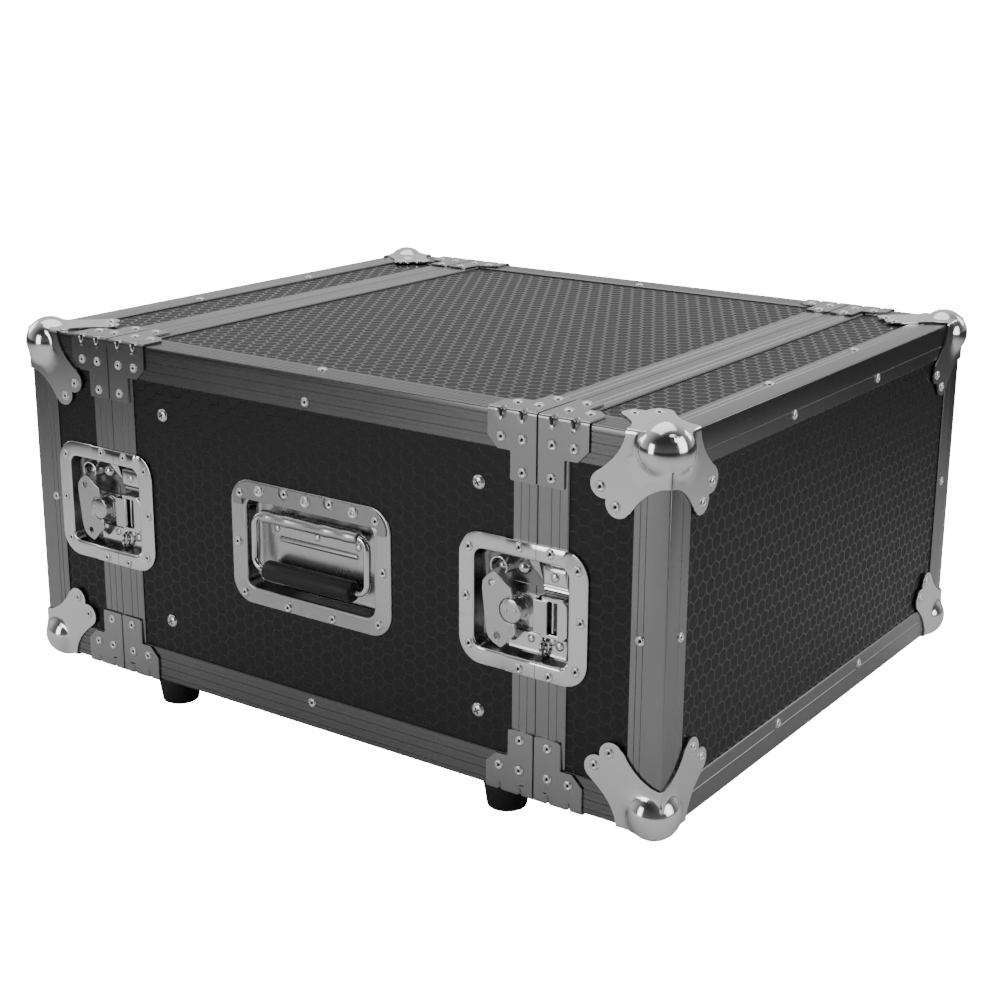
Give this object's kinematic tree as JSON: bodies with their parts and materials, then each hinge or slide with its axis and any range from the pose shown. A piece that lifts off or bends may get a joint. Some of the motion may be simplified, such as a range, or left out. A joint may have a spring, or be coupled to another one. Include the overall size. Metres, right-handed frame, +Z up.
{
  "type": "rack flight case",
  "caption": "Laminated rack flight case with aluminium edges, two lift-off lids, butterfly latches, spring handles, ball corners, rack rails and rubber feet.",
  "frame": {"origin": "under the middle of the case, on the plane that the feet stand on", "axes": "+Y from the front lid to the rear lid, +X across the rack width, +Z up"},
  "size_m": [0.548, 0.66, 0.3316],
  "materials": {
    "laminate": "satin black laminate with a fine hexagon print over plywood",
    "anodised_aluminium": "grey anodised, grooved extrusion",
    "nickel_plate": "bright nickel plate",
    "zinc_plate": "bright zinc plate",
    "rail_steel": "dark plated steel",
    "black_rubber": "matt black"
  },
  "bodies": {
    "case_body": {"body_top_panel": "laminate", "body_bottom_panel": "laminate", "body_left_panel": "laminate", "body_right_panel": "laminate", "body_top_left_edge": "anodised_aluminium", "body_top_right_edge": "anodised_aluminium", "body_bottom_left_edge": "anodised_aluminium", "body_bottom_right_edge": "anodised_aluminium", "body_front_mouth_frame": "anodised_aluminium", "body_rear_mouth_frame": "anodised_aluminium", "foot_front_left": "black_rubber", "foot_front_right": "black_rubber", "foot_rear_left": "black_rubber", "foot_rear_right": "black_rubber", "front_left_rack_rail": "rail_steel", "front_right_rack_rail": "rail_steel", "rear_left_rack_rail": "rail_steel", "rear_right_rack_rail": "rail_steel", "left_handle_dish": "nickel_plate", "left_handle_hinge_strap": "zinc_plate", "right_handle_dish": "nickel_plate", "right_handle_hinge_strap": "zinc_plate", "front_left_latch_dish": "nickel_plate", "front_right_latch_dish": "nickel_plate", "rear_left_latch_keeper": "nickel_plate", "rear_right_latch_keeper": "nickel_plate"},
    "front_lid": {"front_lid_tray": "laminate", "front_lid_edge_frame": "anodised_aluminium", "front_lid_mouth_frame": "anodised_aluminium", "front_lid_top_left_corner": "nickel_plate", "front_lid_bottom_left_corner": "nickel_plate", "front_lid_top_right_corner": "nickel_plate", "front_lid_bottom_right_corner": "nickel_plate", "front_left_latch_keeper": "nickel_plate", "front_right_latch_keeper": "nickel_plate"},
    "rear_lid": {"rear_lid_tray": "laminate", "rear_lid_edge_frame": "anodised_aluminium", "rear_lid_mouth_frame": "anodised_aluminium", "rear_lid_top_left_corner": "nickel_plate", "rear_lid_bottom_left_corner": "nickel_plate", "rear_lid_top_right_corner": "nickel_plate", "rear_lid_bottom_right_corner": "nickel_plate", "rear_left_latch_dish": "nickel_plate", "rear_right_latch_dish": "nickel_plate"},
    "left_bail": {"left_handle_bail": "nickel_plate", "left_handle_grip": "black_rubber"},
    "right_bail": {"right_handle_bail": "nickel_plate", "right_handle_grip": "black_rubber"},
    "front_left_spindle": {"front_left_latch_spindle": "zinc_plate"},
    "front_left_wing": {"front_left_latch_wing": "nickel_plate"},
    "front_left_hook": {"front_left_latch_hook": "zinc_plate"},
    "front_right_spindle": {"front_right_latch_spindle": "zinc_plate"},
    "front_right_wing": {"front_right_latch_wing": "nickel_plate"},
    "front_right_hook": {"front_right_latch_hook": "zinc_plate"},
    "rear_left_spindle": {"rear_left_latch_spindle": "zinc_plate"},
    "rear_left_wing": {"rear_left_latch_wing": "nickel_plate"},
    "rear_left_hook": {"rear_left_latch_hook": "zinc_plate"},
    "rear_right_spindle": {"rear_right_latch_spindle": "zinc_plate"},
    "rear_right_wing": {"rear_right_latch_wing": "nickel_plate"},
    "rear_right_hook": {"rear_right_latch_hook": "zinc_plate"}
  },
  "joints": [
    {"name": "front_lid_pull", "type": "slide", "parent": "case_body", "child": "front_lid", "axis": [0, -1, 0], "range_m": [0, 0.25]},
    {"name": "rear_lid_pull", "type": "slide", "parent": "case_body", "child": "rear_lid", "axis": [0, 1, 0], "range_m": [0, 0.25]},
    {"name": "left_handle_lift", "type": "hinge", "parent": "case_body", "child": "left_bail", "pos_m": [-0.263, 0.0053, 0.1988], "axis": [0, 1, 0], "range_deg": [0, 90], "stiffness_Nm_per_rad": 0.08, "springref_deg": -34.38},
    {"name": "right_handle_lift", "type": "hinge", "parent": "case_body", "child": "right_bail", "pos_m": [0.263, 0.0053, 0.1988], "axis": [0, -1, 0], "range_deg": [0, 90], "stiffness_Nm_per_rad": 0.08, "springref_deg": -34.38},
    {"name": "front_left_latch_turn", "type": "hinge", "parent": "case_body", "child": "front_left_spindle", "pos_m": [-0.265, -0.1895, 0.1706], "axis": [1, 0, 0], "range_deg": [0, 180]},
    {"name": "front_left_latch_wing_fold", "type": "hinge", "parent": "front_left_spindle", "child": "front_left_wing", "pos_m": [-0.2624, -0.1895, 0.1706], "axis": [0, 0.1219, 0.9925], "range_deg": [0, 90]},
    {"name": "front_left_latch_hook_travel", "type": "slide", "parent": "case_body", "child": "front_left_hook", "axis": [0, -1, 0], "range_m": [0, 0.0045]},
    {"name": "front_right_latch_turn", "type": "hinge", "parent": "case_body", "child": "front_right_spindle", "pos_m": [0.265, -0.1895, 0.1706], "axis": [1, 0, 0], "range_deg": [0, 180]},
    {"name": "front_right_latch_wing_fold", "type": "hinge", "parent": "front_right_spindle", "child": "front_right_wing", "pos_m": [0.2624, -0.1895, 0.1706], "axis": [0, -0.1219, -0.9925], "range_deg": [0, 90]},
    {"name": "front_right_latch_hook_travel", "type": "slide", "parent": "case_body", "child": "front_right_hook", "axis": [0, -1, 0], "range_m": [0, 0.0045]},
    {"name": "rear_left_latch_turn", "type": "hinge", "parent": "rear_lid", "child": "rear_left_spindle", "pos_m": [-0.265, 0.2465, 0.1706], "axis": [1, 0, 0], "range_deg": [0, 180]},
    {"name": "rear_left_latch_wing_fold", "type": "hinge", "parent": "rear_left_spindle", "child": "rear_left_wing", "pos_m": [-0.2624, 0.2465, 0.1706], "axis": [0, 0.1219, 0.9925], "range_deg": [0, 90]},
    {"name": "rear_left_latch_hook_travel", "type": "slide", "parent": "rear_lid", "child": "rear_left_hook", "axis": [0, -1, 0], "range_m": [0, 0.0045]},
    {"name": "rear_right_latch_turn", "type": "hinge", "parent": "rear_lid", "child": "rear_right_spindle", "pos_m": [0.265, 0.2465, 0.1706], "axis": [1, 0, 0], "range_deg": [0, 180]},
    {"name": "rear_right_latch_wing_fold", "type": "hinge", "parent": "rear_right_spindle", "child": "rear_right_wing", "pos_m": [0.2624, 0.2465, 0.1706], "axis": [0, -0.1219, -0.9925], "range_deg": [0, 90]},
    {"name": "rear_right_latch_hook_travel", "type": "slide", "parent": "rear_lid", "child": "rear_right_hook", "axis": [0, -1, 0], "range_m": [0, 0.0045]}
  ],
  "couplings": [
    {"joint": "front_left_latch_hook_travel", "follows": "front_left_latch_turn", "m_per_rad": 0.00143},
    {"joint": "front_right_latch_hook_travel", "follows": "front_right_latch_turn", "m_per_rad": 0.00143},
    {"joint": "rear_left_latch_hook_travel", "follows": "rear_left_latch_turn", "m_per_rad": 0.00143},
    {"joint": "rear_right_latch_hook_travel", "follows": "rear_right_latch_turn", "m_per_rad": 0.00143}
  ]
}
